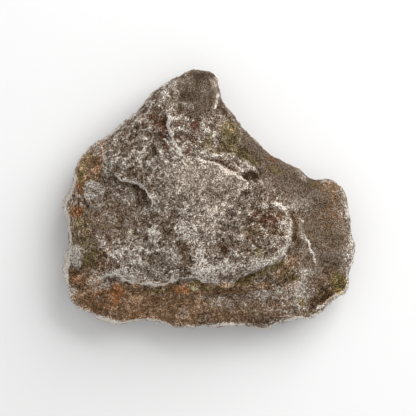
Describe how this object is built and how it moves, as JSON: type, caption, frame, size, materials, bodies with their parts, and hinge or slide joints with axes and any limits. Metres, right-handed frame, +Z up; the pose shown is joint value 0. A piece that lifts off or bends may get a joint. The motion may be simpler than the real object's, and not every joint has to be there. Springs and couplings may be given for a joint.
{
  "type": "stony meteorite",
  "caption": "Rough triangular stony meteorite with broken flake scars and a blunt peak, lying on its flattest side; a display or hand specimen.",
  "frame": {"origin": "middle of the bounding box in plan, on the plane of the flat face that the stone rests on", "axes": "+X along the stone's length, +Y towards its blunt peak, +Z up from the resting face"},
  "size_m": [0.12, 0.1068, 0.0359],
  "materials": {
    "weathered_stone": "matt, rough, weathered grey-brown stone with pale grey crusts, rust and moss"
  },
  "bodies": {
    "root": {"meteorite": "weathered_stone"}
  },
  "joints": []
}
